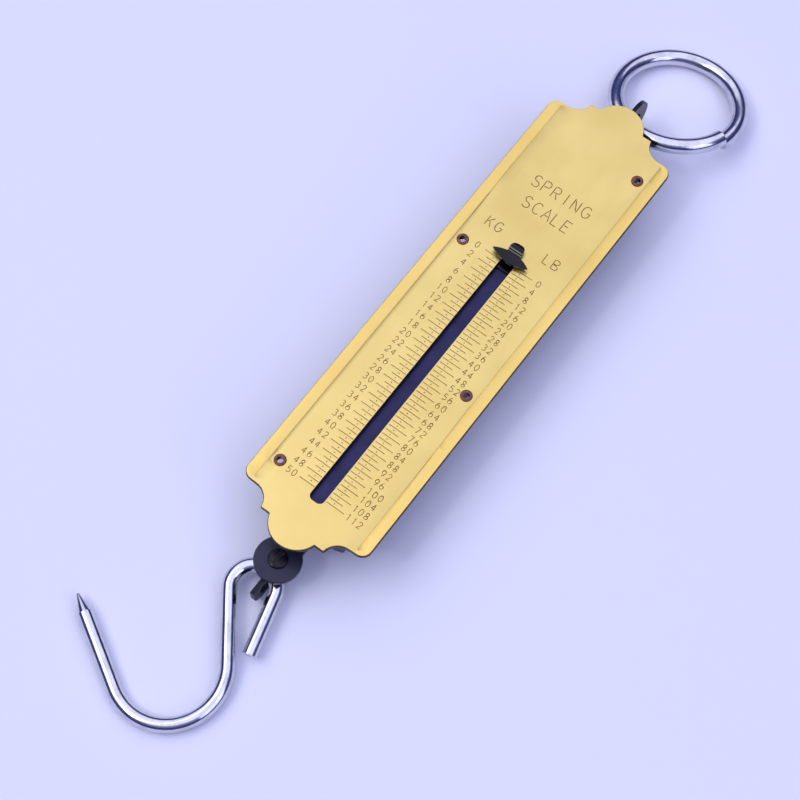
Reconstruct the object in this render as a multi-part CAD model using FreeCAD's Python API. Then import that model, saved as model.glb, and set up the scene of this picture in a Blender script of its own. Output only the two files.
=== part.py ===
import FreeCAD, Part
import math
import os

# Hanging spring balance with a brass scale plate, laid on its back.
# Units are millimetres. +Z is up and out of the scale plate, +Y runs towards the ring,
# +X towards the pound side. The origin is on the flat of the case back, mid-length.

V = FreeCAD.Vector
X_AXIS = V(1, 0, 0)
Y_AXIS = V(0, 1, 0)
Z_AXIS = V(0, 0, 1)

# ---- scale plate and case ----
FACE_TOP = 24.0          # front of the scale plate above the case back
SHEET = 0.8              # brass plate, flange and case wall thickness
HALF_WIDTH = 25.0        # half the width over the long edges
STRAIGHT_END = 85.0      # long edges are straight up to this distance from mid-length
CORNER_R = 3.4           # rounded outer corners
COVE_R = 6.5             # concave arc between corner and step
COVE_X = 19.0            # centre of the concave arc
COVE_Y = 95.0
STEP_Y = 94.0            # square step between the concave arc and the lobe
LOBE_R = 9.5             # centre lobe
LOBE_Y = 91.1
FLANGE_GROW = 0.25       # steel flange shows this much outside the brass
SLOT_HALF = 2.7
SLOT_Y = (-82.4, 30.0)   # ends of the slot
SLOT_CORNER_R = 1.9
TROUGH_HALF = 14.5       # outside of the pressed trough
TROUGH_END = 86.0
TROUGH_R = 8.0           # rounding along the trough's bottom edges
LINE_Z = 12.0            # line of pull: spring, ring hole and load bar share it
PLATE_T = 2.5            # thickness of the two inner end plates
END_RIVETS = (-83.95, 83.95)
YOKE_Y = 69.5            # rail's upper yoke, riveted to the trough's sides
YOKE_HALF = 2.5
YOKE_RIVET_Z = 17.0
RAIL_TOP = 72.0
RAIL_LEG_LOW = 15.0      # rail's lower end is bent down on the guide plate
RAIL_LEG_RIVET_Z = 18.0
PIN_HOLE_R = 0.8         # rivet holes through case, end plates and rail
PIN_R = 0.75
OPENING_GAP = 0.3        # play around tab and bar where they pass the case's ends
CUT_REACH = 60.0         # longer than any through cut

# ---- eyelets ----
EYELET_SPOTS = ((17.6, 77.8), (-17.6, 23.2), (17.6, -23.2), (-17.6, -77.8))
EYELET_BORE = 1.15
EYELET_OUT = 1.55
EYELET_RIM = 2.15
EYELET_RIM_T = 0.4
EYELET_FOOT = 21.9       # lower end of the barrel, below the flange
EYELET_CLINCH = (22.05, 22.4)

# ---- hanger and ring ----
TAB_T = 1.5
TAB_R = 9.0              # rounded outer end of the hanger tab
TAB_END_Y = 103.0        # centre of that rounding
TAB_HEAD_Y = 76.4        # inner end of the wide head, which bears on the anchor plate
TAB_HEAD_Z = (1.2, 22.0)
TAB_HEAD_R = 3.0
RING_HOLE = (102.6, LINE_Z, 4.7)
SPRING_HOLE_TOP = (80.6, 2.0)
RING_R = 22.8            # wire centre line
RING_WIRE = 2.95
RING_CENTRE = V(7.5, 122.75, 8.05)
RING_TILT = 11.2         # far side down towards the table
RING_ROLL = 4.8          # left side lower than the right
RING_GAP_AT = -16.0      # angle of the butted joint in the wire
RING_GAP = 2.6           # opening between the wire ends, degrees
RING_STEP = 2.6          # the ends miss each other by this much

# ---- spring ----
COIL_R = 7.2
COIL_WIRE = 1.15
COIL_TURNS = 18.75
COIL_PITCH = 2.4
COIL_TOP = 72.6
LOOP_R = 3.7
LOOP_TOP = 76.2          # loop centres
LOOP_LOW = 28.0
PLUG_R = 5.85            # end plugs inside the coil
PLUG_LENGTH = 4.0
PLUG_TOP_Y = 69.2        # lower faces of the two plugs
PLUG_LOW_Y = 28.6

# ---- load bar, pointer and load tab ----
BAR_T = 2.0
BAR_HALF = 5.5
BAR_END = 25.9
BAR_HOLE = (23.6, 2.3)
CROWN_R = 4.0
DISC_R = 8.1
DISC_EDGE_R = 0.35
DISC_Y = -102.4
RAIL_Z = (20.7, 21.5)
RAIL_HALF = 3.6
LENS_Y = 26.2
LENS_HALF = 7.2
LENS_THICK = 2.1
LENS_Z = 25.35
STUD_Y = 27.3            # stud that holds the lens on the tongue
STUD_R = 0.6
LENS_T = 0.8
LOAD_TAB_T = 1.6
LOAD_TAB_Y = (-116.3, -98.0)
LOAD_TAB_LOW = 1.3
LOAD_TAB_R = 4.0
TENON_Y = (-105.3, -99.5)
TENON_TOP = 14.3
COLLAR_R = 3.4           # collar around the tenon
COLLAR_T = 1.0
CARRIAGE_Y = (22.3, 26.0)
CARRIAGE_HALF = 5.4
CARRIAGE_T = 0.8
CARRIAGE_RIVETS = ((-3.3, 23.4), (3.3, 23.4))
CARRIAGE_RIVET_R = 0.65
LOOP_ROOM_HALF = 1.6     # notch in the carriage for the spring's loop
LOOP_ROOM_Y = 22.8
BRIDGE_Z = (21.9, 22.6)
TONGUE_T = 0.7
TONGUE_HALF = 1.2        # where it passes up through the slot
TONGUE_Y = 25.85         # centre of its upright
TONGUE_TOP = 24.9        # centre of its level part under the lens
TONGUE_BEND = 0.75       # radius of the two square bends
LEVEL_END_Y = 28.2       # end of the level part
CURL_R = 2.0             # radius of the curl, first up and then over
CURL_RISE = 40.0         # degrees turned upwards before it curls over
KNOB_HALF = 2.65
KNOB_Y = (29.3, 30.2)    # centres of the knob's rounded ends
EYE_Z = 6.2              # height of the hook's pivot in the load tab
EYE_Y = -105.9
EYE_FOOT_Y = -110.0      # other end of the oblong eye
EYE_HALF = 3.4           # half height of the eye

# ---- hook ----
HOOK_WIRE = 2.6
HOOK_POINT = 7.0         # length of the ground point
HOOK_POINT_R = 0.4       # blunted tip
HOOK_BEND = (-8.0, -149.9, 18.9)   # centre and radius of the bend's centre line
HOOK_EYE = (-2.2, -113.4, 7.8)     # centre and radius of the eye's centre line
HOOK_TIP = 27.7          # straight before the point
HOOK_TIP_AT = -29.9      # its direction from tip to bend, degrees
HOOK_END = 21.0          # straight free end after the eye
HOOK_END_AT = -75.1


def box(x, y, z):
    """Box from (low, high) pairs."""
    return Part.makeBox(x[1] - x[0], y[1] - y[0], z[1] - z[0], V(x[0], y[0], z[0]))


def cyl(r, start, direction, length):
    return Part.makeCylinder(r, length, start, direction)


def prism(wire, direction):
    return Part.Face(wire).extrude(direction)


def fuse(shapes):
    """One solid from touching or overlapping shapes, without seams."""
    return shapes[0].multiFuse(shapes[1:]).removeSplitter() if len(shapes) > 1 else shapes[0]


def cut(shape, tools):
    return shape.cut(tools[0].multiFuse(tools[1:]) if len(tools) > 1 else tools[0])


def channel(half_x, y, z, r):
    """Block along Y with its two bottom edges rounded."""
    body = box((-half_x, half_x), y, z)
    low = [e for e in body.Edges if abs(e.tangentAt(0).y) > 0.9 and e.CenterOfMass.z < z[0] + 0.01]
    return body.makeFillet(r, low)


def outline(grow=0.0):
    """Closed wire of the ogee-ended plate, symmetric about both axes."""
    reach = math.acos((COVE_Y - STEP_Y) / COVE_R)
    mid = -math.pi / 2 - 0.5 * reach
    lobe_x = math.sqrt(LOBE_R ** 2 - (STEP_Y - LOBE_Y) ** 2)
    turn = 0.5 * (math.atan2(STEP_Y - LOBE_Y, lobe_x) + math.pi / 2)
    corner = (HALF_WIDTH - CORNER_R, STRAIGHT_END)
    corner_end = (corner[0], corner[1] + CORNER_R)
    diagonal = CORNER_R * math.sqrt(0.5)
    runs = (
        ((HALF_WIDTH, STRAIGHT_END), (corner[0] + diagonal, corner[1] + diagonal), corner_end),
        (corner_end, (COVE_X, COVE_Y - COVE_R)),
        ((COVE_X, COVE_Y - COVE_R), (COVE_X + COVE_R * math.cos(mid), COVE_Y + COVE_R * math.sin(mid)),
         (COVE_X - COVE_R * math.sin(reach), STEP_Y)),
        ((COVE_X - COVE_R * math.sin(reach), STEP_Y), (lobe_x, STEP_Y)),
        ((lobe_x, STEP_Y), (LOBE_R * math.cos(turn), LOBE_Y + LOBE_R * math.sin(turn)), (0, LOBE_Y + LOBE_R)),
    )
    edges = []
    for sx in (1, -1):
        edges.append(Part.makeLine(V(sx * HALF_WIDTH, -STRAIGHT_END, 0), V(sx * HALF_WIDTH, STRAIGHT_END, 0)))
        for sy in (1, -1):
            for run in runs:
                points = [V(x * sx, y * sy, 0) for x, y in run]
                if len(points) == 2:
                    edges.append(Part.makeLine(*points))
                else:
                    edges.append(Part.Arc(*points).toShape())
    wire = Part.Wire(Part.__sortEdges__(edges))
    return wire.makeOffset2D(grow) if grow else wire


def plate_blank(grow, z0, z1):
    return prism(outline(grow), V(0, 0, z1 - z0)).translated(V(0, 0, z0))


def stadium(half, y, z):
    """Slot-shaped prism along Y; y holds the centres of its round ends."""
    ends = [cyl(half, V(0, end, z[0]), Z_AXIS, z[1] - z[0]) for end in y]
    return fuse([box((-half, half), y, z)] + ends)


def eyelet_holes():
    return [cyl(EYELET_OUT + 0.05, V(x, y, 0), Z_AXIS, CUT_REACH) for x, y in EYELET_SPOTS]


# ---- case ----
def make_face_plate():
    blank = plate_blank(0.0, FACE_TOP - SHEET, FACE_TOP)
    slot = box((-SLOT_HALF, SLOT_HALF), SLOT_Y, (0, CUT_REACH))
    slot = slot.makeFillet(SLOT_CORNER_R, [e for e in slot.Edges if abs(e.tangentAt(0).z) > 0.9])
    return cut(blank, [slot] + eyelet_holes())


def make_case_back(openings):
    flange_top = FACE_TOP - SHEET
    flange_low = flange_top - SHEET
    flange = plate_blank(FLANGE_GROW, flange_low, flange_top)
    trough = channel(TROUGH_HALF, (-TROUGH_END, TROUGH_END), (0, flange_top), TROUGH_R)
    inner = (TROUGH_HALF - SHEET, TROUGH_END - SHEET)
    hollow = channel(inner[0], (-inner[1], inner[1]), (SHEET, CUT_REACH), TROUGH_R - SHEET)
    spots = [(y, LINE_Z) for y in END_RIVETS] + [(YOKE_Y, YOKE_RIVET_Z)]
    pins = [cyl(PIN_HOLE_R, V(-HALF_WIDTH, y, z), X_AXIS, CUT_REACH) for y, z in spots]
    return cut(fuse([flange, trough]), [hollow] + openings + eyelet_holes() + pins)


def make_end_plate(side, openings):
    """Thick plate that closes the trough's end and takes the pull."""
    y0, y1 = sorted((side * (TROUGH_END - SHEET), side * (TROUGH_END - SHEET - PLATE_T)))
    plate = channel(TROUGH_HALF - SHEET, (y0, y1), (SHEET, FACE_TOP - SHEET), TROUGH_R - SHEET)
    depth = 4.0
    start = TROUGH_HALF - SHEET
    pins = [cyl(PIN_HOLE_R, V(sx * start, 0.5 * (y0 + y1), LINE_Z), V(-sx, 0, 0), depth) for sx in (-1, 1)]
    return cut(plate, openings + pins)


def make_eyelets():
    out = []
    for x, y in EYELET_SPOTS:
        barrel = cyl(EYELET_OUT, V(x, y, EYELET_FOOT), Z_AXIS, FACE_TOP - EYELET_FOOT)
        rim = cyl(EYELET_RIM, V(x, y, FACE_TOP), Z_AXIS, EYELET_RIM_T)
        rim = rim.makeFillet(0.3, [e for e in rim.Edges if e.CenterOfMass.z > FACE_TOP + 0.3 and e.Closed])
        low, high = EYELET_CLINCH
        clinch = cyl(EYELET_RIM - 0.1, V(x, y, low), Z_AXIS, high - low)
        body = fuse([barrel, rim, clinch])
        out.append(body.cut(cyl(EYELET_BORE, V(x, y, 0), Z_AXIS, CUT_REACH)))
    return Part.makeCompound(out)


def rivet(point, direction, shank_r, shank, head_r, head):
    """Dome-headed rivet: the head starts at the point, the shank runs along the direction."""
    d = V(*direction)
    body = cyl(shank_r, point, d, shank)
    cap = cyl(head_r, point, d * -1, head)
    rim = [e for e in cap.Edges if e.Closed and abs((e.CenterOfMass - point).dot(d) + head) < 0.01]
    return fuse([body, cap.makeFillet(head * 0.8, rim)])


def make_side_rivets():
    out = []
    for sx in (-1, 1):
        for y in END_RIVETS:
            out.append(rivet(V(sx * TROUGH_HALF, y, LINE_Z), (-sx, 0, 0), PIN_R, 4.5, 1.6, 0.8))
    return Part.makeCompound(out)


def make_rail_rivets():
    """Two rivets through the trough's sides and one through the guide plate."""
    head = (1.5, 0.7)
    out = [rivet(V(sx * TROUGH_HALF, YOKE_Y, YOKE_RIVET_Z), (-sx, 0, 0), PIN_R, 1.7, *head) for sx in (-1, 1)]
    out.append(rivet(V(0, -TROUGH_END, RAIL_LEG_RIVET_Z), (0, 1, 0), PIN_R, PLATE_T + 2 * SHEET, *head))
    return Part.makeCompound(out)


def make_hanger_tab():
    y, z, r = RING_HOLE
    x = (-TAB_T / 2, TAB_T / 2)
    shoulder = TROUGH_END - SHEET - PLATE_T
    outer = box(x, (shoulder, TAB_END_Y), (LINE_Z - TAB_R, LINE_Z + TAB_R))
    nose = cyl(TAB_R, V(x[0], TAB_END_Y, LINE_Z), X_AXIS, TAB_T)
    head = box(x, (TAB_HEAD_Y, shoulder), TAB_HEAD_Z)
    inner = [e for e in head.Edges if abs(e.tangentAt(0).x) > 0.9 and e.CenterOfMass.y < TAB_HEAD_Y + 0.1]
    head = head.makeFillet(TAB_HEAD_R, inner)
    hole = cyl(r, V(-TAB_T, y, z), X_AXIS, 2 * TAB_T)
    spring_hole = cyl(SPRING_HOLE_TOP[1], V(-TAB_T, SPRING_HOLE_TOP[0], LINE_Z), X_AXIS, 2 * TAB_T)
    return cut(fuse([outer, nose, head]), [hole, spring_hole])


def make_guide_rail():
    """Strip behind the slot: an upper yoke on the trough's sides, a lower leg on the guide plate."""
    z0, z1 = RAIL_Z
    wide = TROUGH_HALF - SHEET
    low = SHEET + PLATE_T - TROUGH_END
    yoke = (YOKE_Y - YOKE_HALF, YOKE_Y + YOKE_HALF)
    pieces = [box((-RAIL_HALF, RAIL_HALF), (low, RAIL_TOP), (z0, z1)), box((-wide, wide), yoke, (z0, z1))]
    pieces.append(box((-RAIL_HALF, RAIL_HALF), (low, low + SHEET), (RAIL_LEG_LOW, z1)))
    for sx in (-1, 1):
        pieces.append(box(sorted((sx * wide, sx * (wide - SHEET))), yoke, (YOKE_RIVET_Z - 3.0, z1)))
    yoke_pin = cyl(PIN_HOLE_R, V(-HALF_WIDTH, YOKE_Y, YOKE_RIVET_Z), X_AXIS, CUT_REACH)
    return cut(fuse(pieces), [yoke_pin, rail_pin()])


def rail_pin():
    """Hole for the rivet that holds the rail's leg, through the lower end of the case."""
    return cyl(PIN_HOLE_R, V(0, -TROUGH_END - 4, RAIL_LEG_RIVET_Z), Y_AXIS, 20)


# ---- ring, spring and hook wires ----
def swept(path, r):
    """Round wire of radius r along a path of tangent lines and arcs, or a helix."""
    first = path[0]
    profile = Part.makeCircle(r, first.valueAt(first.FirstParameter), first.tangentAt(first.FirstParameter))
    return Part.Wire(path).makePipeShell([Part.Wire(profile)], True, True)


def on_circle(centre, r, degrees):
    a = math.radians(degrees)
    return V(centre[0] + r * math.cos(a), centre[1] + r * math.sin(a), 0)


def arc(centre, r, start, end):
    """Arc in the XY plane between two angles, in degrees."""
    spots = [on_circle(centre, r, start + (end - start) * t) for t in (0, 0.5, 1)]
    return Part.Arc(*spots).toShape()


def make_ring():
    """Two half turns that share one end; the other ends miss each other at the butted joint."""
    far = V(-RING_R, 0, 0)
    twist = math.degrees(math.asin(RING_STEP / 4 / RING_R))
    halves = []
    for side in (-1, 1):
        section = Part.Face(Part.Wire(Part.makeCircle(RING_WIRE, far, Y_AXIS)))
        half = section.revolve(V(0, 0, 0), Z_AXIS * side, 180 - RING_GAP / 2)
        half.rotate(far, Y_AXIS, -side * twist)
        halves.append(half)
    ring = fuse(halves)
    ring.rotate(V(0, 0, 0), Z_AXIS, RING_GAP_AT)
    ring.rotate(V(0, 0, 0), Y_AXIS, -RING_ROLL)
    ring.rotate(V(0, 0, 0), X_AXIS, -RING_TILT)
    return ring.translated(RING_CENTRE)


def make_spring():
    """Close-wound extension spring, one helix along Y."""
    coil = swept([Part.makeHelix(COIL_PITCH, COIL_PITCH * COIL_TURNS, COIL_R).Edges[0]], COIL_WIRE)
    coil.rotate(V(0, 0, 0), X_AXIS, 90)
    return coil.translated(V(0, COIL_TOP, LINE_Z))


def make_plug(loop_y, lean, plug_y):
    """Plug screwed into one end of the spring, with a closed loop on it."""
    loop = Part.makeTorus(LOOP_R, COIL_WIRE)
    loop.rotate(V(0, 0, 0), Y_AXIS, lean)
    plug = cyl(PLUG_R, V(0, plug_y, LINE_Z), Y_AXIS, PLUG_LENGTH)
    return fuse([loop.translated(V(0, loop_y, LINE_Z)), plug])


def make_hook():
    """Eye, shank, bend and straight tip in one plane, which leans down to the table."""
    bend, bend_r = HOOK_BEND[:2], HOOK_BEND[2]
    eye, eye_r = HOOK_EYE[:2], HOOK_EYE[2]
    across = (eye[0] - bend[0], eye[1] - bend[1])
    lean = math.asin((bend_r + eye_r) / math.hypot(*across))
    shank = math.degrees(math.atan2(across[1], across[0]) + lean)
    bend_arc = arc(bend, bend_r, HOOK_TIP_AT - 90, shank - 90)
    eye_arc = arc(eye, eye_r, shank + 90, HOOK_END_AT + 90)
    low, high = bend_arc.Vertexes[0].Point, bend_arc.Vertexes[-1].Point
    enter, leave = eye_arc.Vertexes[0].Point, eye_arc.Vertexes[-1].Point
    tip_way = on_circle((0, 0), 1, HOOK_TIP_AT)
    tip = low - tip_way * HOOK_TIP
    end = leave + on_circle((0, 0), 1, HOOK_END_AT) * HOOK_END
    shank_line = Part.makeLine(high, enter)
    path = [Part.makeLine(tip, low), bend_arc, shank_line, eye_arc, Part.makeLine(leave, end)]
    point = Part.makeCone(HOOK_WIRE, HOOK_POINT_R, HOOK_POINT, tip, tip_way * -1)
    body = fuse([swept(path, HOOK_WIRE), point])
    body.translate(V(0, 0, EYE_Z))
    drop = math.degrees(math.asin((EYE_Z - HOOK_WIRE) / (EYE_Y - bend[1] + bend_r)))
    body.rotate(V(0, EYE_Y, EYE_Z), X_AXIS, drop)
    return body


# ---- load bar and what it carries ----
def make_load_bar():
    z = (LINE_Z - BAR_T / 2, LINE_Z + BAR_T / 2)
    top = BAR_HOLE[0]
    strip = box((-BAR_HALF, BAR_HALF), (DISC_Y, BAR_END), z)
    crown = cyl(CROWN_R, V(0, top, z[0]), Z_AXIS, BAR_T)
    disc = cyl(DISC_R, V(0, DISC_Y, z[0]), Z_AXIS, BAR_T)
    rim = [e for e in disc.Edges if e.Closed and e.Curve.TypeId == "Part::GeomCircle"]
    disc = disc.makeFillet(DISC_EDGE_R, rim)
    hole = cyl(BAR_HOLE[1], V(0, top, 0), Z_AXIS, CUT_REACH)
    return cut(fuse([strip, crown, disc]), [tenon_slot(), hole] + carriage_pins())


def tenon_slot():
    return box((-LOAD_TAB_T / 2, LOAD_TAB_T / 2), TENON_Y, (0, CUT_REACH))


def carriage_pins():
    return [cyl(CARRIAGE_RIVET_R + 0.05, V(x, y, 0), Z_AXIS, LINE_Z + 5) for x, y in CARRIAGE_RIVETS]


def make_load_tab():
    x = (-LOAD_TAB_T / 2, LOAD_TAB_T / 2)
    under = LINE_Z - BAR_T / 2
    plate = box(x, LOAD_TAB_Y, (LOAD_TAB_LOW, under))
    low = [e for e in plate.Edges if abs(e.tangentAt(0).x) > 0.9 and e.CenterOfMass.z < LOAD_TAB_LOW + 0.1]
    plate = plate.makeFillet(LOAD_TAB_R, low)
    tenon = box(x, TENON_Y, (under, TENON_TOP))
    y = (EYE_FOOT_Y, EYE_Y)
    eye = [box((-LOAD_TAB_T, LOAD_TAB_T), y, (EYE_Z - EYE_HALF, EYE_Z + EYE_HALF))]
    eye += [cyl(EYE_HALF, V(-LOAD_TAB_T, end, EYE_Z), X_AXIS, 2 * LOAD_TAB_T) for end in y]
    return cut(fuse([plate, tenon]), eye)


def make_tenon_collar():
    z = LINE_Z + BAR_T / 2
    ring = cyl(COLLAR_R, V(0, DISC_Y, z), Z_AXIS, COLLAR_T)
    rim = [e for e in ring.Edges if e.Closed and e.CenterOfMass.z > z + 0.9 * COLLAR_T]
    return ring.makeFillet(0.6 * COLLAR_T, rim).cut(tenon_slot())


def on_curl(centre, degrees):
    """Point of the tongue's curl around a centre, in the YZ plane."""
    a = math.radians(degrees)
    return centre + V(0, CURL_R * math.cos(a), CURL_R * math.sin(a))


def make_tongue():
    """Ribbon that rises through the slot, runs level under the lens and curls over as a knob."""
    base_z = 0.5 * (BRIDGE_Z[0] + BRIDGE_Z[1])
    level_end = V(0, LEVEL_END_Y, TONGUE_TOP)
    up_centre = level_end + V(0, 0, CURL_R)
    up_end = on_curl(up_centre, CURL_RISE - 90)
    over = up_end * 2 - up_centre
    half_bend = TONGUE_BEND * math.sqrt(0.5)
    foot = V(0, TONGUE_Y - TONGUE_BEND, base_z)
    head = V(0, TONGUE_Y + TONGUE_BEND, TONGUE_TOP)
    low_centre = foot + V(0, 0, TONGUE_BEND)
    high_centre = head - V(0, 0, TONGUE_BEND)
    shank = (V(0, TONGUE_Y, low_centre.z), V(0, TONGUE_Y, high_centre.z))
    path = [
        Part.makeLine(V(0, CARRIAGE_Y[0] + TONGUE_T, base_z), foot),
        Part.Arc(foot, low_centre + V(0, half_bend, -half_bend), shank[0]).toShape(),
        Part.makeLine(*shank),
        Part.Arc(shank[1], high_centre + V(0, -half_bend, half_bend), head).toShape(),
        Part.makeLine(head, level_end),
        Part.Arc(level_end, on_curl(up_centre, 0.5 * CURL_RISE - 90), up_end).toShape(),
        Part.Arc(up_end, on_curl(over, 80), on_curl(over, 32)).toShape(),
    ]
    section = Part.Face(Part.Wire(path).makeOffset2D(TONGUE_T / 2))
    ribbon = section.extrude(V(2 * CARRIAGE_HALF, 0, 0)).translated(V(-CARRIAGE_HALF, 0, 0))
    upright = box((-TONGUE_HALF, TONGUE_HALF), (0, LEVEL_END_Y), (0, CUT_REACH))
    return ribbon.common(fuse([upright, stadium(KNOB_HALF, KNOB_Y, (0, CUT_REACH))]))


def make_carriage():
    """Bent sheet on the bar's end: it straddles the guide rail and carries the tongue."""
    z0 = LINE_Z + BAR_T / 2
    half = CARRIAGE_HALF
    inner = half - CARRIAGE_T
    base = box((-half, half), CARRIAGE_Y, (z0, z0 + CARRIAGE_T))
    loop_room = box((-LOOP_ROOM_HALF, LOOP_ROOM_HALF), (LOOP_ROOM_Y, CUT_REACH), (0, z0 + 2))
    arms = [box(sorted((sx * half, sx * inner)), CARRIAGE_Y, (z0, BRIDGE_Z[1])) for sx in (-1, 1)]
    bridge = box((-half, half), (CARRIAGE_Y[0], TONGUE_Y - TONGUE_T / 2), BRIDGE_Z)
    stud_hole = cyl(STUD_R + 0.05, V(0, STUD_Y, FACE_TOP - 0.5), Z_AXIS, 10)
    return cut(fuse([base.cut(loop_room)] + arms + [bridge, make_tongue()]), carriage_pins() + [stud_hole])


def make_carriage_rivets():
    z = LINE_Z + BAR_T / 2 + CARRIAGE_T
    heads = [rivet(V(x, y, z), (0, 0, -1), CARRIAGE_RIVET_R, 3.2, 1.0, 0.7) for x, y in CARRIAGE_RIVETS]
    return Part.makeCompound(heads)


def make_pointer():
    """Pointed lens that crosses the slot just above the tongue, with its stud."""
    stud = cyl(STUD_R, V(0, STUD_Y, LENS_Z - 1.2), Z_AXIS, 1.2)
    tips = (V(-LENS_HALF, LENS_Y, LENS_Z), V(LENS_HALF, LENS_Y, LENS_Z))
    arcs = [Part.Arc(tips[0], V(0, LENS_Y + s * LENS_THICK, LENS_Z), tips[1]).toShape() for s in (-1, 1)]
    return fuse([prism(Part.Wire(Part.__sortEdges__(arcs)), V(0, 0, LENS_T)), stud])


def build():
    inside, outside = 60, 120
    tab_x = TAB_T / 2 + OPENING_GAP
    tab_z = TAB_R + OPENING_GAP
    bar_x = BAR_HALF + OPENING_GAP
    bar_z = BAR_T / 2 + OPENING_GAP
    tab_opening = box((-tab_x, tab_x), (inside, outside), (LINE_Z - tab_z, LINE_Z + tab_z))
    bar_opening = box((-bar_x, bar_x), (-outside, -inside), (LINE_Z - bar_z, LINE_Z + bar_z))
    return {
        "face_plate": make_face_plate(),
        "case_back": make_case_back([tab_opening, bar_opening, rail_pin()]),
        "anchor_plate": make_end_plate(1, [tab_opening]),
        "guide_plate": make_end_plate(-1, [bar_opening, rail_pin()]),
        "eyelets": make_eyelets(),
        "side_rivets": make_side_rivets(),
        "rail_rivets": make_rail_rivets(),
        "guide_rail": make_guide_rail(),
        "hanger_tab": make_hanger_tab(),
        "ring": make_ring(),
        "spring": make_spring(),
        "spring_plug_top": make_plug(LOOP_TOP, 0, PLUG_TOP_Y),
        "spring_plug_low": make_plug(LOOP_LOW, 90, PLUG_LOW_Y),
        "load_bar": make_load_bar(),
        "carriage": make_carriage(),
        "carriage_rivets": make_carriage_rivets(),
        "pointer": make_pointer(),
        "load_tab": make_load_tab(),
        "tenon_collar": make_tenon_collar(),
        "hook": make_hook(),
    }


os.makedirs("parts", exist_ok=True)
for name, shape in build().items():
    shape.exportStep("parts/" + name + ".step")
    print(name, "valid" if shape.isValid() else "NOT VALID", len(shape.Solids), "solids")
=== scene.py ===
"""Looks of the hanging spring balance: engraved brass plate, japanned case, plated wires, soft studio."""

import logging
import math
import random
from dataclasses import dataclass, field
from enum import Enum

import bmesh
import bpy
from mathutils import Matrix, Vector


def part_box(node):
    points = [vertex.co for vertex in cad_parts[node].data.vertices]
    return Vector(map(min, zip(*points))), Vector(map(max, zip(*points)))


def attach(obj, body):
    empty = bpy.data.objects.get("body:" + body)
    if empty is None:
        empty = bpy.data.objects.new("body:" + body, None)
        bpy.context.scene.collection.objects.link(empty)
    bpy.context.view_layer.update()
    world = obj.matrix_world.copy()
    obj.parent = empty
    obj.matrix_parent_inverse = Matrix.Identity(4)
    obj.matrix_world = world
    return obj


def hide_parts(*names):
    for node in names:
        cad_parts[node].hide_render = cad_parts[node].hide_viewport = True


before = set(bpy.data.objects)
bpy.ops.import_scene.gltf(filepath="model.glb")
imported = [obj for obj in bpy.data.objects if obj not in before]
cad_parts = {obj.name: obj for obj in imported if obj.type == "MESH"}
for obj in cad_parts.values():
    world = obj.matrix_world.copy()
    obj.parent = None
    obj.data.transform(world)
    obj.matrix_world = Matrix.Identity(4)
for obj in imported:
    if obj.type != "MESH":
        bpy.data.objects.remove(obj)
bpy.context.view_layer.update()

LOG = logging.getLogger("spring_balance")
MM = 0.001
WELD_MM = 0.0001
FLAT_TOLERANCE_MM = 0.001

# sRGB transfer curve: straight below the knee, a power above it.
SRGB_KNEE = 0.04045
SRGB_LINEAR_SLOPE = 12.92
SRGB_OFFSET = 0.055
SRGB_POWER = 2.4

Colour = tuple[float, float, float, float]
Point = tuple[float, float]
Range = tuple[float, float]


def linear(hex_colour: str) -> Colour:
    """Turns an sRGB hex colour into linear light.

    Args:
        hex_colour: Colour such as "#E8D48C".

    Returns:
        Red, green, blue and alpha, linear.
    """
    channels = [int(hex_colour[i:i + 2], 16) / 255 for i in (1, 3, 5)]
    red, green, blue = (
        c / SRGB_LINEAR_SLOPE if c <= SRGB_KNEE else ((c + SRGB_OFFSET) / (1 + SRGB_OFFSET)) ** SRGB_POWER
        for c in channels)
    return red, green, blue, 1.0


def add_node(tree: bpy.types.NodeTree, kind: str, settings: dict | None = None,
             links: dict | None = None) -> bpy.types.Node:
    """Adds a node, sets it up and wires its inputs.

    Args:
        tree: Tree that takes the node.
        kind: Node type, such as "ShaderNodeTexNoise".
        settings: Values by the name or number of an input, or by the name of a property.
        links: Output sockets to wire in, by the name or number of the input.

    Returns:
        The new node.
    """
    made = tree.nodes.new(kind)
    for key, value in (settings or {}).items():
        if isinstance(key, int) or key in made.inputs:
            made.inputs[key].default_value = value
        else:
            setattr(made, key, value)
    for key, socket in (links or {}).items():
        tree.links.new(made.inputs[key], socket)
    return made


# ---- finishes ----
COAT_ROUGHNESS = 0.08
GRAIN_DETAIL = 3.0
CLOUD_DETAIL = 4.0
NOISE_ROUGHNESS = 0.55
# Noise keeps to the middle of its range, so this part of it is spread over the whole roughness.
PATCHY_RANGE = (0.35, 0.65)
# Cosine between the rounded and the flat normal: a whole edge at the first, a fully rubbed one at the second.
EDGE_TURN = (0.985, 0.86)
EDGE_SAMPLES = 4
CHIP_MM = 1.6
CHIP_RANGE = (0.47, 0.6)


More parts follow.
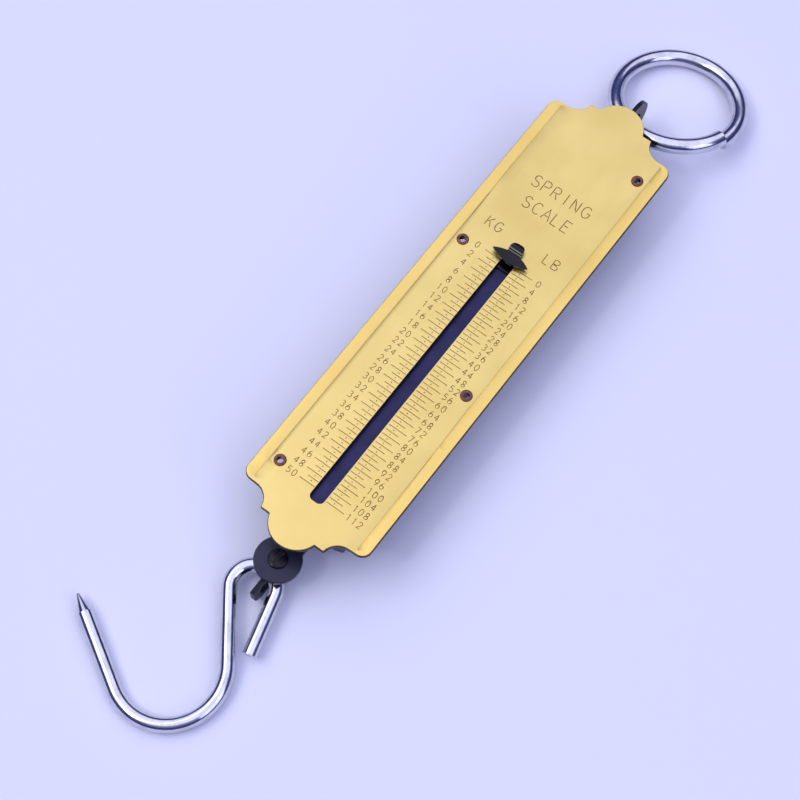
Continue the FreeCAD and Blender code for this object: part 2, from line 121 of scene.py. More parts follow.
@dataclass(frozen=True)
class MetalFinish:
    """A metal or painted metal with cloudy tone, grain, fine relief and worn edges.

    Patterns are worked out from sizes in millimetres, in the frame's own coordinates.
    """

    name: str
    base: str
    tone: str
    metallic: float
    roughness: Range
    tone_mm: float
    grain_mm: tuple[float, float, float]
    relief_mm: float
    edge: str = ""
    edge_mm: float = 0.0
    coat: float = 0.0
    gloss: float = 0.5
    tone_share: Range = (0.35, 0.7)

    def build(self) -> bpy.types.Material:
        """Makes the material with its nodes.

        Returns:
            The new material.
        """
        material = bpy.data.materials.new(self.name)
        material.use_nodes = True
        tree = material.node_tree
        shader = tree.nodes["Principled BSDF"]
        shader.inputs["Metallic"].default_value = self.metallic
        shader.inputs["Specular IOR Level"].default_value = self.gloss
        shader.inputs["Coat Weight"].default_value = self.coat
        shader.inputs["Coat Roughness"].default_value = COAT_ROUGHNESS
        where = add_node(tree, "ShaderNodeTexCoord").outputs["Object"]
        grain = self._noise(tree, where, self.grain_mm, GRAIN_DETAIL)
        clouds = self._noise(tree, where, (self.tone_mm,) * 3, CLOUD_DETAIL)
        share = add_node(tree, "ShaderNodeMapRange",
                         {"From Min": self.tone_share[0], "From Max": self.tone_share[1]},
                         {"Value": clouds}).outputs["Result"]
        colour = add_node(tree, "ShaderNodeMix",
                          {"data_type": "RGBA", 6: linear(self.base), 7: linear(self.tone)},
                          {0: share}).outputs[2]
        colour = self._tint(tree, where, colour)
        worn = self._worn_edges(tree, where)
        if worn:
            colour = add_node(tree, "ShaderNodeMix", {"data_type": "RGBA", 7: linear(self.edge)},
                              {0: worn, 6: colour}).outputs[2]
        tree.links.new(shader.inputs["Base Color"], colour)
        half_clouds = add_node(tree, "ShaderNodeMath", {"operation": "MULTIPLY", 1: 0.5}, {0: clouds})
        patchy = add_node(tree, "ShaderNodeMath", {"operation": "MULTIPLY_ADD", 1: 0.5},
                          {0: grain, 2: half_clouds.outputs[0]}).outputs[0]
        rough = add_node(tree, "ShaderNodeMapRange",
                         {"From Min": PATCHY_RANGE[0], "From Max": PATCHY_RANGE[1],
                          "To Min": self.roughness[0], "To Max": self.roughness[1]},
                         {"Value": patchy}).outputs["Result"]
        tree.links.new(shader.inputs["Roughness"], rough)
        relief = add_node(tree, "ShaderNodeBump", {"Strength": 1.0, "Distance": self.relief_mm * MM},
                          {"Height": grain}).outputs["Normal"]
        tree.links.new(shader.inputs["Normal"], relief)
        return material

    def _noise(self, tree: bpy.types.NodeTree, where: bpy.types.NodeSocket, size_mm: tuple,
               detail: float) -> bpy.types.NodeSocket:
        """Noise whose features measure size_mm along X, Y and Z.

        Args:
            tree: Tree that takes the nodes.
            where: Socket with the frame's coordinates.
            size_mm: Feature size along each axis.
            detail: Octaves of finer noise.

        Returns:
            Socket with a value from 0 to 1.
        """
        scaled = add_node(tree, "ShaderNodeVectorMath",
                          {"operation": "MULTIPLY", 1: [1 / (s * MM) for s in size_mm]}, {0: where})
        return add_node(tree, "ShaderNodeTexNoise",
                        {"Scale": 1.0, "Detail": detail, "Roughness": NOISE_ROUGHNESS},
                        {"Vector": scaled.outputs[0]}).outputs["Fac"]

    def _tint(self, tree: bpy.types.NodeTree, where: bpy.types.NodeSocket,
              colour: bpy.types.NodeSocket) -> bpy.types.NodeSocket:
        """Lets a finish change the colour by place; a plain one keeps it.

        Args:
            tree: Tree that takes the nodes.
            where: Socket with the frame's coordinates.
            colour: Socket with the colour so far.

        Returns:
            Socket with the colour to use.
        """
        return colour

    def _worn_edges(self, tree: bpy.types.NodeTree,
                    where: bpy.types.NodeSocket) -> bpy.types.NodeSocket | None:
        """Mask of rubbed edges, from how far a rounded edge turns away from the flat one.

        Args:
            tree: Tree that takes the nodes.
            where: Socket with the frame's coordinates.

        Returns:
            Socket with 1 on worn edges, or None for a finish that doesn't wear.
        """
        if not self.edge:
            return None
        rounded = add_node(tree, "ShaderNodeBevel",
                           {"samples": EDGE_SAMPLES, "Radius": self.edge_mm * MM}).outputs[0]
        flat = add_node(tree, "ShaderNodeNewGeometry").outputs["Normal"]
        turn = add_node(tree, "ShaderNodeVectorMath", {"operation": "DOT_PRODUCT"}, {0: rounded, 1: flat})
        edge = add_node(tree, "ShaderNodeMapRange", {"From Min": EDGE_TURN[0], "From Max": EDGE_TURN[1]},
                        {"Value": turn.outputs["Value"]}).outputs["Result"]
        chips = self._noise(tree, where, (CHIP_MM,) * 3, CLOUD_DETAIL)
        rubbed = add_node(tree, "ShaderNodeMapRange",
                          {"From Min": CHIP_RANGE[0], "From Max": CHIP_RANGE[1]}, {"Value": chips})
        return add_node(tree, "ShaderNodeMath", {"operation": "MULTIPLY"},
                        {0: edge, 1: rubbed.outputs["Result"]}).outputs[0]


@dataclass(frozen=True)
class BrassSheetFinish(MetalFinish):
    """Brass sheet whose folded side bands get a deeper yellow than the middle: a painted reflection, standing
    in for the bent bands catching the light unlike the flat middle.
    """

    # Deeper yellow of the side bands beyond the creases: painted reflection, not a different colour of the
    # brass.
    band: str = "#F1CD6E"
    band_at_mm: float = 20.8
    band_blend_mm: float = 0.4
    band_share: float = 0.5

    def _tint(self, tree: bpy.types.NodeTree, where: bpy.types.NodeSocket,
              colour: bpy.types.NodeSocket) -> bpy.types.NodeSocket:
        """Deepens the colour outside the two creases: painted reflection of the bent side bands.

        Args:
            tree: Tree that takes the nodes.
            where: Socket with the frame's coordinates.
            colour: Socket with the colour of the middle.

        Returns:
            Socket with the colour of the middle and of both bands.
        """
        along_x = add_node(tree, "ShaderNodeSeparateXYZ", links={0: where}).outputs["X"]
        away = add_node(tree, "ShaderNodeMath", {"operation": "ABSOLUTE"}, {0: along_x}).outputs[0]
        # Painted reflection: the bands beyond the creases blend towards the deeper yellow.
        outside = add_node(tree, "ShaderNodeMapRange",
                           {"From Min": self.band_at_mm * MM,
                            "From Max": (self.band_at_mm + self.band_blend_mm) * MM,
                            "To Max": self.band_share}, {"Value": away}).outputs["Result"]
        return add_node(tree, "ShaderNodeMix", {"data_type": "RGBA", 7: linear(self.band)},
                        {0: outside, 6: colour}).outputs[2]


# Brass, rolled sheet, lacquered: pale satin yellow with faint lengthwise rolling lines and handling clouds,
# and a painted reflection that deepens the yellow of the side bands.
# Rolling lines are finer than this in life; 0.35 mm is as coarse as they need to be to show.
ROLLED_BRASS = BrassSheetFinish(
    "rolled_lacquered_brass", base="#E5CC80", tone="#DDC376", metallic=1.0, roughness=(0.3, 0.42),
    tone_mm=26.0, grain_mm=(0.35, 14.0, 0.35), relief_mm=0.0016)
# Brass left dark in the cut lines, where polish and dirt stay: brown and dull against the plate.
CUT_BRASS = MetalFinish(
    "darkened_cut_brass", base="#8F6E36", tone="#6E5228", metallic=0.6, roughness=(0.45, 0.6),
    tone_mm=3.0, grain_mm=(0.3, 0.3, 0.3), relief_mm=0.004)
# Mild steel, pressed and black japanned: half-gloss with a soft orange peel, rubbed to grey at the edges.
BLACK_JAPAN = MetalFinish(
    "black_japanned_steel", base="#09090D", tone="#111118", metallic=0.0, roughness=(0.16, 0.3),
    tone_mm=18.0, grain_mm=(1.4, 1.4, 1.4), relief_mm=0.02, edge="#6F6E72", edge_mm=0.3, coat=0.12, gloss=0.3)
# Mild steel plate, cold rolled: grey with a light brown bloom, dull.
MILD_STEEL = MetalFinish(
    "cold_rolled_mild_steel", base="#8C8C90", tone="#6E6660", metallic=1.0, roughness=(0.35, 0.55),
    tone_mm=7.0, grain_mm=(0.25, 2.5, 0.25), relief_mm=0.004)
# Brass tube, coppered and spun over: reddish brown, brighter where the rim is rubbed.
COPPERED_BRASS = MetalFinish(
    "coppered_brass_tube", base="#82574A", tone="#523430", metallic=1.0, roughness=(0.25, 0.42),
    tone_mm=1.2, grain_mm=(0.4, 0.4, 0.4), relief_mm=0.008, edge="#D9A37C", edge_mm=0.12)
# Spring steel strip, heat blued: deep navy with a soft sheen and lengthwise rub marks.
BLUED_STRIP = MetalFinish(
    "heat_blued_steel_strip", base="#2E2C54", tone="#242444", metallic=0.75, roughness=(0.32, 0.46),
    tone_mm=9.0, grain_mm=(0.3, 5.0, 0.3), relief_mm=0.004)
# Steel plate, chemically blackened: near black, satin, bare steel showing along the sheared edges.
BLACKENED_STEEL = MetalFinish(
    "blackened_steel_plate", base="#0D0D13", tone="#16161E", metallic=0.3, roughness=(0.28, 0.42),
    tone_mm=5.0, grain_mm=(0.5, 0.5, 0.5), relief_mm=0.008, edge="#6A6A74", edge_mm=0.12, gloss=0.3)
# Steel, stove enamelled in slate: even satin with fine dust nibs.
SLATE_ENAMEL = MetalFinish(
    "slate_stoved_enamel", base="#25263F", tone="#1D1E33", metallic=0.2, roughness=(0.3, 0.42),
    tone_mm=6.0, grain_mm=(0.4, 0.4, 0.4), relief_mm=0.006, edge="#8A8A98", edge_mm=0.12, coat=0.08,
    gloss=0.35)
# Steel sheet, black lacquered: smooth and deep black, with small sharp highlights.
BLACK_LACQUER = MetalFinish(
    "black_lacquered_steel", base="#040406", tone="#09090E", metallic=0.0, roughness=(0.08, 0.16),
    tone_mm=4.0, grain_mm=(0.9, 0.9, 0.9), relief_mm=0.006, gloss=0.3)
# Steel wire, drawn and bright nickel plated: mirror with faint clouding and a few soft pits.
BRIGHT_NICKEL = MetalFinish(
    "bright_nickel_plated_wire", base="#D6D6DC", tone="#B9BAC4", metallic=1.0, roughness=(0.09, 0.2),
    tone_mm=5.0, grain_mm=(0.8, 0.8, 0.8), relief_mm=0.005, tone_share=(0.45, 0.75))
# Music wire, cold drawn and oiled: dark grey, slick.
OILED_SPRING_WIRE = MetalFinish(
    "oiled_spring_wire", base="#55555C", tone="#3F3E42", metallic=1.0, roughness=(0.22, 0.36),
    tone_mm=3.0, grain_mm=(0.3, 0.3, 0.3), relief_mm=0.004)
# Steel washer, blackened then burnished by the punch: dark with a bright worn rim.
BURNISHED_COLLAR = MetalFinish(
    "burnished_black_steel", base="#1C1C24", tone="#2C2C36", metallic=0.8, roughness=(0.16, 0.28),
    tone_mm=1.5, grain_mm=(0.4, 0.4, 0.4), relief_mm=0.008, edge="#C9C9D2", edge_mm=0.2)


# ---- lettering ----
ARC_STEP = 20
MIN_ARC_STEPS = 3


@dataclass(frozen=True)
class Arc:
    """Part of an ellipse in a letter's own box, from one angle to another in degrees."""

    x: float
    y: float
    rx: float
    ry: float
    start: float
    end: float

    def points(self) -> list[Point]:
        """Points along the arc, one each ARC_STEP degrees or less.

        Returns:
            The points, from start to end.
        """
        sweep = self.end - self.start
        steps = max(MIN_ARC_STEPS, math.ceil(abs(sweep) / ARC_STEP))
        turns = [math.radians(self.start + sweep * i / steps) for i in range(steps + 1)]
        return [(self.x + self.rx * math.cos(a), self.y + self.ry * math.sin(a)) for a in turns]


# Single-line letters, one unit high. A stroke is a run of corners and arcs; strokes end just short of each
# other, as with an engraving stencil.
SIX = ((Arc(0.3, 0.3, 0.27, 0.3, 0, 360),), (Arc(0.62, 0.36, 0.59, 0.64, 160, 112),))
STEM = ((0.0, 0.0), (0.0, 1.0))
HIGH_BOWL = ((0.07, 1.0), (0.3, 1.0), Arc(0.3, 0.74, 0.25, 0.26, 80, -80), (0.07, 0.48))
GLYPHS: dict[str, tuple] = {
    "0": ((Arc(0.3, 0.5, 0.27, 0.5, 0, 360),),),
    "1": (((0.14, 0.8), (0.34, 1.0), (0.34, 0.0)),),
    "2": ((Arc(0.3, 0.72, 0.26, 0.28, 160, -35), (0.04, 0.0), (0.58, 0.0)),),
    "3": ((Arc(0.28, 0.76, 0.24, 0.24, 140, -90),), (Arc(0.28, 0.26, 0.28, 0.26, 55, -140),)),
    "4": (((0.4, 1.0), (0.02, 0.3), (0.33, 0.3)), ((0.4, 0.84), (0.4, 0.0)), ((0.47, 0.3), (0.58, 0.3))),
    "5": (((0.52, 1.0), (0.13, 1.0), (0.09, 0.6)), (Arc(0.28, 0.31, 0.28, 0.31, 140, -145),)),
    "6": SIX,
    "7": (((0.03, 1.0), (0.56, 1.0), (0.2, 0.0)),),
    "8": ((Arc(0.3, 0.765, 0.21, 0.235, 0, 360),), (Arc(0.3, 0.225, 0.26, 0.225, 0, 360),)),
    "A": (((0.0, 0.0), (0.33, 1.0), (0.66, 0.0)), ((0.19, 0.34), (0.47, 0.34))),
    "B": (STEM,
          ((0.07, 1.0), (0.3, 1.0), Arc(0.3, 0.77, 0.22, 0.23, 80, -80), (0.07, 0.54)),
          ((0.07, 0.46), (0.32, 0.46), Arc(0.32, 0.23, 0.26, 0.23, 80, -80), (0.07, 0.0))),
    "C": ((Arc(0.36, 0.5, 0.34, 0.5, 48, 312),),),
    "E": (((0.5, 1.0), (0.0, 1.0), (0.0, 0.0), (0.5, 0.0)), ((0.07, 0.52), (0.42, 0.52))),
    "G": ((Arc(0.36, 0.5, 0.34, 0.5, 48, 340), (0.69, 0.46), (0.42, 0.46)),),
    "I": (((0.3, 0.0), (0.3, 1.0)),),
    "K": (STEM, ((0.52, 1.0), (0.07, 0.42)), ((0.26, 0.52), (0.56, 0.0))),
    "L": (((0.0, 1.0), (0.0, 0.0), (0.48, 0.0)),),
    "N": (STEM, ((0.085, 0.9), (0.475, 0.1)), ((0.56, 0.0), (0.56, 1.0))),
    "P": (STEM, HIGH_BOWL),
    "R": (STEM, HIGH_BOWL, ((0.29, 0.4), (0.54, 0.0))),
    "S": ((Arc(0.3, 0.75, 0.27, 0.25, 30, 270), Arc(0.3, 0.25, 0.29, 0.25, 70, -150)),),
}
GLYPH_CENTRE = 0.3
SAME_POINT = 1e-6
# A mitre at a sharp corner is at most this many times wider than the line: one over the cosine.
MITRE_COSINE = 0.5
PIT_SIDES = 8
LEAN = 0.03
SHIFT_MM = 0.06


@dataclass(frozen=True)
class LetterStyle:
    """Sizes of engraved letters: height, distance between letters, and the cut itself."""

    height_mm: float
    pitch_mm: float
    width_mm: float
    depth_mm: float


TITLE_STYLE = LetterStyle(height_mm=4.6, pitch_mm=4.1, width_mm=0.34, depth_mm=0.13)
UNIT_STYLE = LetterStyle(height_mm=3.9, pitch_mm=3.5, width_mm=0.32, depth_mm=0.12)
FIGURE_STYLE = LetterStyle(height_mm=2.35, pitch_mm=2.25, width_mm=0.26, depth_mm=0.1)


@dataclass
class Engraver:
    """Gathers V-shaped cutters for lines, dots and letters into one mesh, in metres."""

    top: float
    lift: float = 0.02 * MM
    mesh: bmesh.types.BMesh = field(default_factory=bmesh.new)
    hand: random.Random = field(default_factory=lambda: random.Random(7))

    def groove(self, points: list[Point], width_mm: float, depth_mm: float, closed: bool = False) -> None:
        """Adds a V groove along a line.

        Args:
            points: Line on the plate, in metres.
            width_mm: Width at the plate's face.
            depth_mm: Depth at the bottom of the V.
            closed: Whether the last point joins the first.
        """
        spots = [Vector(p) for p in points]
        half = 0.5 * width_mm * MM * (1 + self.lift / (depth_mm * MM))
        last = len(spots) - 1
        rows = []
        for i, spot in enumerate(spots):
            ways = []
            if closed or i > 0:
                ways.append((spot - spots[i - 1]).normalized())
            if closed or i < last:
                ways.append((spots[(i + 1) % len(spots)] - spot).normalized())
            way = sum(ways, Vector((0, 0))).normalized()
            side = Vector((-way.y, way.x)) * half / max(MITRE_COSINE, way.dot(ways[0]))
            rows.append([self.mesh.verts.new((*(spot + side), self.top + self.lift)),
                         self.mesh.verts.new((*(spot - side), self.top + self.lift)),
                         self.mesh.verts.new((*spot, self.top - depth_mm * MM))])
        pairs = list(zip(rows, rows[1:])) + ([(rows[-1], rows[0])] if closed else [])
        for one, two in pairs:
            for a, b in ((0, 1), (1, 2), (2, 0)):
                self.mesh.faces.new((one[a], one[b], two[b], two[a]))
        if not closed:
            self.mesh.faces.new(rows[0])
            self.mesh.faces.new(reversed(rows[-1]))

    def pit(self, at: Point, width_mm: float, depth_mm: float) -> None:
        """Adds a punched dot, a cone with its point down.

        Args:
            at: Middle of the dot, in metres.
            width_mm: Width at the plate's face.
            depth_mm: Depth of the point.
        """
        radius = 0.5 * width_mm * MM
        turns = [math.tau * i / PIT_SIDES for i in range(PIT_SIDES)]
        rim = [self.mesh.verts.new((at[0] + radius * math.cos(a), at[1] + radius * math.sin(a),
                                    self.top + self.lift)) for a in turns]
        point = self.mesh.verts.new((*at, self.top - depth_mm * MM))
        self.mesh.faces.new(rim)
        for i, one in enumerate(rim):
            self.mesh.faces.new((one, point, rim[(i + 1) % PIT_SIDES]))

    def word(self, text: str, centre_mm: Point, style: LetterStyle, from_left: bool = False) -> None:
        """Cuts a word or number, each letter set by hand with a little play.

        Args:
            text: Letters that GLYPHS holds.
            centre_mm: Middle of the word, or with from_left the middle of its first letter.
            style: Sizes of the letters and their cut.
            from_left: Whether the word starts at centre_mm.
        """
        start = 0.0 if from_left else -0.5 * style.pitch_mm * (len(text) - 1)
        for i, letter in enumerate(text):
            lean = self.hand.uniform(-LEAN, LEAN)
            shift = self.hand.uniform(-SHIFT_MM, SHIFT_MM)
            for stroke in self._strokes(letter):
                closed = len(stroke) > 2 and math.dist(stroke[0], stroke[-1]) < SAME_POINT
                run = stroke[:-1] if closed else stroke
                placed = []
                for x, y in run:
                    across = x - GLYPH_CENTRE + lean * (y - 0.5)
                    right = centre_mm[0] + start + i * style.pitch_mm + across * style.height_mm
                    up = centre_mm[1] + shift + (y - 0.5) * style.height_mm
                    placed.append((right * MM, up * MM))
                self.groove(placed, style.width_mm, style.depth_mm, closed)

    @staticmethod
    def _strokes(letter: str) -> list[list[Point]]:
        """Strokes of a letter as plain points; a nine is a six turned over.

        Args:
            letter: A key of GLYPHS, or "9".

        Returns:
            One list of points for each stroke, in letter heights.
        """
        turned = letter == "9"
        strokes = []
        for parts in SIX if turned else GLYPHS[letter]:
            run: list[Point] = []
            for part in parts:
                run += part.points() if isinstance(part, Arc) else [part]
            strokes.append([(2 * GLYPH_CENTRE - x, 1.0 - y) for x, y in run] if turned else run)
        return strokes

    def finish(self, name: str) -> bpy.types.Object:
        """Turns the cutters into one object.

        Args:
            name: Name of the object and its mesh.

        Returns:
            The cutter object, not yet in the scene.
        """
        bmesh.ops.recalc_face_normals(self.mesh, faces=self.mesh.faces)
        data = bpy.data.meshes.new(name)
        self.mesh.to_mesh(data)
        self.mesh.free()
        return bpy.data.objects.new(name, data)


class Side(Enum):
    """The two scales beside the slot."""

    KILOGRAM = -1
    POUND = 1


LINE_WIDTH_MM = 0.26
LINE_DEPTH_MM = 0.1
DOT_WIDTH_MM = 0.5
DOT_DEPTH_MM = 0.18
ONE_DIGIT_INSET_MM = 0.9


@dataclass(frozen=True)
class ScaleBand:
    """One engraved scale: sizes in millimetres, values in its own unit.

    From one numbered line to the next there are four steps: dot, medium line, dot, long line.
    """

    side: Side
    unit: str
    last: int
    step: int
    pitch_mm: float
    tick_mm: Range
    medium_mm: Range
    dot_mm: float
    figure_mm: float
    unit_at_mm: Point

    def cut(self, engraver: Engraver, zero_mm: float) -> None:
        """Cuts every line, dot and figure.

        Args:
            engraver: Takes the cutters.
            zero_mm: Place of the zero line along the plate.
        """
        quarter = self.step / 4
        for i in range(4 * self.last // self.step + 1):
            value = i * quarter
            y = zero_mm - value * self.pitch_mm
            if i % 2:
                engraver.pit((self.side.value * self.dot_mm * MM, y * MM), DOT_WIDTH_MM, DOT_DEPTH_MM)
                continue
            reach = self.medium_mm if i % 4 else self.tick_mm
            line = [(self.side.value * x * MM, y * MM) for x in reach]
            engraver.groove(line, LINE_WIDTH_MM, LINE_DEPTH_MM)
            if i % 4 == 0:
                self._figure(engraver, str(int(value)), y)
        engraver.word(self.unit, self.unit_at_mm, UNIT_STYLE)

    def _figure(self, engraver: Engraver, text: str, y: float) -> None:
        """Cuts one number: kilograms centred on their column, pounds from the column's left.

        Args:
            engraver: Takes the cutters.
            text: The number.
            y: Place of its line along the plate, in millimetres.
        """
        at = (self.side.value * self.figure_mm, y)
        if self.side is Side.POUND and len(text) == 1:
            at = (at[0] + ONE_DIGIT_INSET_MM, y)
        engraver.word(text, at, FIGURE_STYLE, self.side is Side.POUND)


@dataclass
class ScalePlate:
    """Brass face of the balance, with its rounded sheet edges, creases, scales and words cut in."""

    zero_mm: float = 24.6
    crease_mm: float = 21.0
    crease_reach_mm: float = 87.0
    band_slope: float = 0.022
    band_skin_mm: float = 0.4
    crease_width_mm: float = 0.2
    crease_depth_mm: float = 0.07
    edge_round_mm: float = 0.12
    edge_segments: int = 3
    rim_turn_deg: float = 60
    coplanar_deg: float = 0.5
    sharp_deg: float = 25
    cell_mm: float = 4.122
    cell_offset: float = 0.37
    columns_mm: tuple[float, ...] = (2.72, 6.53, 10.87, 14.9)
    cut_lean: Range = (0.2, 0.96)
    cut_under_mm: Range = (0.01, 0.16)
    cut_area_mm2: float = 3.0
    title: tuple[tuple[str, float], ...] = (("SPRING", 57.1), ("SCALE", 48.3))
    bands: tuple[ScaleBand, ...] = (
        ScaleBand(Side.KILOGRAM, "KG", last=50, step=2, pitch_mm=2.061, tick_mm=(2.95, 9.1),
                  medium_mm=(2.95, 7.2), dot_mm=5.1, figure_mm=12.3, unit_at_mm=(-12.3, 34.4)),
        ScaleBand(Side.POUND, "LB", last=112, step=4, pitch_mm=0.935, tick_mm=(3.2, 10.4),
                  medium_mm=(3.2, 8.4), dot_mm=5.8, figure_mm=12.2, unit_at_mm=(12.0, 34.0)),
    )

    def build(self) -> bpy.types.Object:
        """Makes the plate and lets it stand for the plain CAD one.

        Returns:
            The engraved plate.
        """
        low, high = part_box("face_plate")
        blank = self._blank(high.z)
        cutters = self._cutters(high.z)
        for part in (blank, cutters):
            bpy.context.scene.collection.objects.link(part)
        cut = blank.modifiers.new("engraving", "BOOLEAN")
        cut.object = cutters
        cut.operation = "DIFFERENCE"
        cut.solver = "EXACT"
        cut.use_self = True
        bpy.context.view_layer.update()
        done = bpy.data.meshes.new_from_object(blank.evaluated_get(bpy.context.evaluated_depsgraph_get()))
        blank.modifiers.remove(cut)
        blank.data = done
        bpy.data.objects.remove(cutters)
        done.materials.clear()
        for finish in (ROLLED_BRASS, CUT_BRASS):
            done.materials.append(bpy.data.materials.get(finish.name) or finish.build())
        for polygon in done.polygons:
            polygon.use_smooth = True
            polygon.material_index = int(self._is_cut(polygon, high.z))
        done.set_sharp_from_angle(angle=math.radians(self.sharp_deg))
        even = blank.modifiers.new("even_normals", "WEIGHTED_NORMAL")
        even.keep_sharp = True
        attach(blank, "case")
        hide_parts("face_plate")
        LOG.info("engraved scale plate: %d faces, %.1f mm long", len(done.polygons),
                 (high.y - low.y) / MM)
        return blank

    def _is_cut(self, polygon: bpy.types.MeshPolygon, top: float) -> bool:
        """Whether a face is a wall of a cut: a small one that leans and lies just under the plate's face.

        Args:
            polygon: Face of the finished plate.
            top: Height of the plate's face.

        Returns:
            True for the wall of a groove or dot.
        """
        where = polygon.center
        band_fall = max(0.0, abs(where.x) - self.crease_mm * MM) * self.band_slope
        under = top - band_fall - where.z
        leans = self.cut_lean[0] < polygon.normal.z < self.cut_lean[1]
        shallow = self.cut_under_mm[0] * MM < under < self.cut_under_mm[1] * MM
        return leans and shallow and polygon.area < self.cut_area_mm2 * MM * MM

    def _blank(self, top: float) -> bpy.types.Object:
        """Plate before engraving: the CAD outline with rounded face edges and bands that fall away.

        It is divided into cells, so that no face holds more than a few cuts.

        Args:
            top: Height of the plate's face.

        Returns:
            The plate object, not yet in the scene.
        """
        mesh = bmesh.new()
        mesh.from_mesh(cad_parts["face_plate"].data)
        bmesh.ops.remove_doubles(mesh, verts=mesh.verts, dist=WELD_MM * MM)
        bmesh.ops.dissolve_limit(mesh, angle_limit=math.radians(self.coplanar_deg), verts=mesh.verts,
                                 edges=mesh.edges)
        rim = [e for e in mesh.edges if all(v.co.z > top - FLAT_TOLERANCE_MM * MM for v in e.verts)
               and len(e.link_faces) == 2 and e.calc_face_angle() > math.radians(self.rim_turn_deg)]
        bmesh.ops.bevel(mesh, geom=rim, offset=self.edge_round_mm * MM, segments=self.edge_segments,
                        profile=0.5, affect="EDGES")
        rows = int(self.crease_reach_mm / self.cell_mm)
        lines = [((side * x * MM, 0, 0), (1, 0, 0))
                 for side in (-1, 1) for x in (self.crease_mm, *self.columns_mm)]
        lines += [((0, (i + self.cell_offset) * self.cell_mm * MM, 0), (0, 1, 0)) for i in range(-rows, rows)]
        for place, across in lines:
            bmesh.ops.bisect_plane(mesh, geom=mesh.verts[:] + mesh.edges[:] + mesh.faces[:],
                                   dist=WELD_MM * MM, plane_co=place, plane_no=across)
        for vert in mesh.verts:
            beyond = abs(vert.co.x) - self.crease_mm * MM
            if beyond > 0 and vert.co.z > top - self.band_skin_mm * MM:
                vert.co.z -= beyond * self.band_slope
        data = bpy.data.meshes.new("engraved_scale_plate")
        mesh.to_mesh(data)
        mesh.free()
        return bpy.data.objects.new("engraved_scale_plate", data)

    def _cutters(self, top: float) -> bpy.types.Object:
        """All grooves and dots of the plate's face.

        Args:
            top: Height of the plate's face.

        Returns:
            The cutter object, not yet in the scene.
        """
        engraver = Engraver(top)
        for text, y in self.title:
            engraver.word(text, (0.0, y), TITLE_STYLE)
        for band in self.bands:
            band.cut(engraver, self.zero_mm)
        for side in (-1, 1):
            x = side * self.crease_mm * MM
            engraver.groove([(x, -self.crease_reach_mm * MM), (x, self.crease_reach_mm * MM)],
                            self.crease_width_mm, self.crease_depth_mm)
        return engraver.finish("scale_cutters")


# ---- dressed CAD nodes ----
@dataclass
class Dressing:
    """Puts finishes on the CAD nodes of one sub-assembly."""

    name: str
    finishes: dict[str, MetalFinish]

    def build(self) -> None:
        """Gives each node its finish; nodes with the same finish share one material."""
        made: dict[str, bpy.types.Material] = {}
        for node_name, finish in self.finishes.items():
            if finish.name not in made:
                made[finish.name] = bpy.data.materials.get(finish.name) or finish.build()
            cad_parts[node_name].material_slots[0].material = made[finish.name]
            LOG.info("%s: %s in %s", self.name, node_name, finish.name)


@dataclass
class PressedCase(Dressing):
    """Pressed trough with its end plates, rail, eyelets and rivets."""

    name: str = "pressed case"
    finishes: dict[str, MetalFinish] = field(default_factory=lambda: {
        "case_back": BLACK_JAPAN,
        "anchor_plate": MILD_STEEL, "guide_plate": MILD_STEEL, "eyelets": COPPERED_BRASS,
        "side_rivets": BLACK_JAPAN, "rail_rivets": BLACK_JAPAN, "guide_rail": BLUED_STRIP,
        "face_plate": ROLLED_BRASS})


@dataclass
class Suspension(Dressing):
    """Hanger tab and the ring that the balance hangs from."""

    name: str = "suspension"
    finishes: dict[str, MetalFinish] = field(default_factory=lambda: {
        "hanger_tab": BLACKENED_STEEL, "ring": BRIGHT_NICKEL})


@dataclass
class SpringUnit(Dressing):
    """Extension spring with its two screwed plugs."""

    name: str = "spring unit"
    finishes: dict[str, MetalFinish] = field(default_factory=lambda: {
        "spring": OILED_SPRING_WIRE, "spring_plug_top": MILD_STEEL, "spring_plug_low": MILD_STEEL})


@dataclass
class LoadSlide(Dressing):
    """Load bar with everything that it carries down the slot, and the hook."""

    name: str = "load slide"
    finishes: dict[str, MetalFinish] = field(default_factory=lambda: {
        "load_bar": SLATE_ENAMEL, "carriage": BLACK_LACQUER, "carriage_rivets": MILD_STEEL,
        "pointer": BLACK_LACQUER, "load_tab": BLACKENED_STEEL, "tenon_collar": BURNISHED_COLLAR,
        "hook": BRIGHT_NICKEL})


# ---- studio ----
@dataclass(frozen=True)
class Lamp:
    """Square light: its place and side in metres, its power in watts and its sRGB colour."""

    name: str
    place: tuple[float, float, float]
    side: float
    power: float
    colour: str


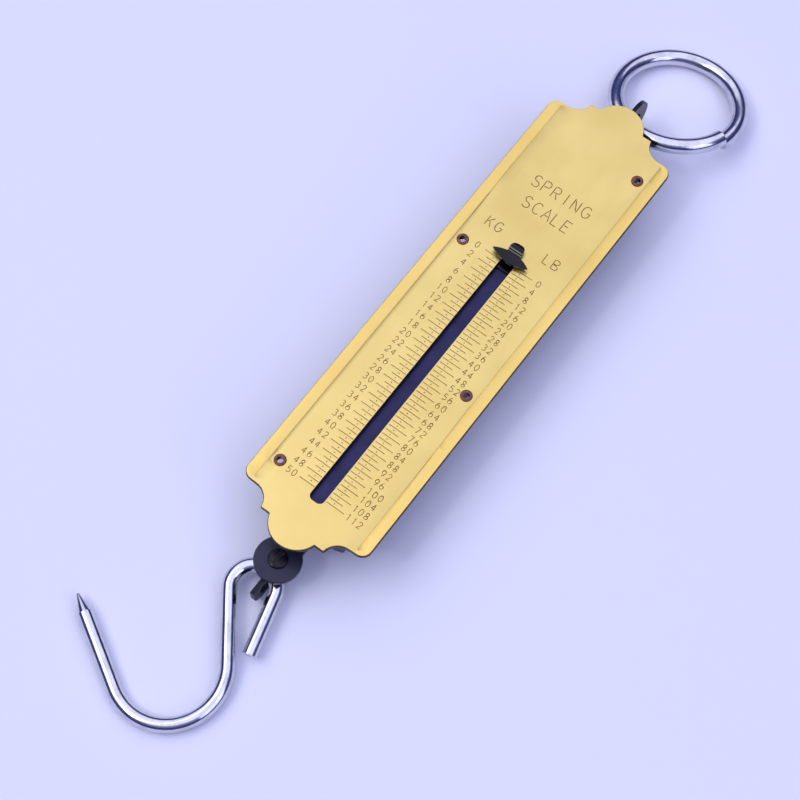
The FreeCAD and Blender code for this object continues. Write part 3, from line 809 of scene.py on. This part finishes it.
@dataclass
class Studio:
    """Pale floor, a surround, three softboxes, one small lamp and the camera.

    The surround is pale at the horizon and darker above it, so that plated wire gets its dark lines.
    """

    floor_colour: str = "#E6E7F8"
    floor_half: float = 4.0
    floor_gap_mm: float = 0.05
    floor_roughness: float = 0.75
    floor_gloss: float = 0.2
    azimuth: float = 36.81
    elevation: float = 67.33
    distance: float = 0.5987
    near_clip: float = 0.01
    lens: float = 81.66
    aim_mm: Point = (0.95, -37.5)
    surround_strength: float = 0.9
    surround: tuple[tuple[float, str], ...] = (
        (0.0, "#C4C8E8"), (0.06, "#8288B8"), (0.16, "#2E3468"), (0.5, "#464C8C"), (0.8, "#A8ACD0"))
    lamps: tuple[Lamp, ...] = (
        Lamp("key_softbox", (-0.8, -0.45, 1.5), 0.9, 5.0, "#FFFDF6"),
        Lamp("fill_softbox", (1.2, -0.2, 0.9), 0.9, 5.0, "#CDD2FF"),
        Lamp("sparkle_lamp", (-0.42, -0.95, 1.5), 0.16, 2.2, "#FFFFFF"),
        Lamp("overhead_softbox", (-0.2, 0.3, 1.6), 3.0, 25.5, "#F0F1FF"),
    )

    def build(self) -> None:
        """Makes the floor, the surround, the lights and the camera."""
        self._floor()
        self._world()
        for lamp in self.lamps:
            self._light(lamp)
        self._camera()
        LOG.info("studio: floor, three softboxes, one lamp and camera")

    def _floor(self) -> None:
        """Flat sheet of matt paper just under the object."""
        data = bpy.data.meshes.new("studio_floor")
        half = self.floor_half
        level = -self.floor_gap_mm * MM
        corners = [(x * half, y * half, level) for x, y in ((-1, -1), (1, -1), (1, 1), (-1, 1))]
        data.from_pydata(corners, [], [(0, 1, 2, 3)])
        floor = bpy.data.objects.new("studio_floor", data)
        bpy.context.scene.collection.objects.link(floor)
        material = bpy.data.materials.new("matt_paper")
        material.use_nodes = True
        shader = material.node_tree.nodes["Principled BSDF"]
        shader.inputs["Base Color"].default_value = linear(self.floor_colour)
        shader.inputs["Roughness"].default_value = self.floor_roughness
        shader.inputs["Specular IOR Level"].default_value = self.floor_gloss
        data.materials.append(material)

    def _world(self) -> None:
        """Surround whose colour changes with height, the same all the way round."""
        world = bpy.data.worlds.new("studio_surround")
        bpy.context.scene.world = world
        world.use_nodes = True
        tree = world.node_tree
        height = add_node(tree, "ShaderNodeSeparateXYZ",
                          links={0: add_node(tree, "ShaderNodeTexCoord").outputs["Generated"]}).outputs["Z"]
        ramp = add_node(tree, "ShaderNodeValToRGB", links={"Fac": height})
        while len(ramp.color_ramp.elements) < len(self.surround):
            ramp.color_ramp.elements.new(0.5)
        for element, (place, colour) in zip(ramp.color_ramp.elements, self.surround):
            element.position = place
            element.color = linear(colour)
        background = tree.nodes["Background"]
        background.inputs["Strength"].default_value = self.surround_strength
        tree.links.new(background.inputs["Color"], ramp.outputs["Color"])

    def _light(self, lamp: Lamp) -> None:
        """Puts one light in its place, facing the middle of the object.

        Args:
            lamp: The light to make.
        """
        light = bpy.data.lights.new(lamp.name, "AREA")
        light.size = lamp.side
        light.energy = lamp.power
        light.color = linear(lamp.colour)[:3]
        stand = bpy.data.objects.new(lamp.name, light)
        stand.location = lamp.place
        stand.rotation_mode = "QUATERNION"
        stand.rotation_quaternion = (-Vector(lamp.place)).to_track_quat("-Z", "Y")
        bpy.context.scene.collection.objects.link(stand)

    def _camera(self) -> None:
        """Long lens above the plate, looking down along its length from the lower right."""
        around, up = math.radians(self.azimuth), math.radians(self.elevation)
        back = Vector((math.sin(around) * math.cos(up), -math.cos(around) * math.cos(up),
                       math.sin(up)))
        aim = Vector((self.aim_mm[0] * MM, self.aim_mm[1] * MM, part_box("face_plate")[1].z))
        data = bpy.data.cameras.new("studio_camera")
        data.lens = self.lens
        data.clip_start = self.near_clip
        camera = bpy.data.objects.new("studio_camera", data)
        camera.location = aim + back * self.distance
        camera.rotation_mode = "QUATERNION"
        camera.rotation_quaternion = (-back).to_track_quat("-Z", "Y")
        bpy.context.scene.collection.objects.link(camera)
        bpy.context.scene.camera = camera
        bpy.context.scene.view_settings.view_transform = "Standard"


def main() -> None:
    """Builds the balance in order, then the studio."""
    logging.basicConfig(level=logging.INFO, format="%(message)s")
    for part in (PressedCase(), Suspension(), SpringUnit(), LoadSlide(), ScalePlate(), Studio()):
        part.build()


if __name__ == "__main__":
    main()
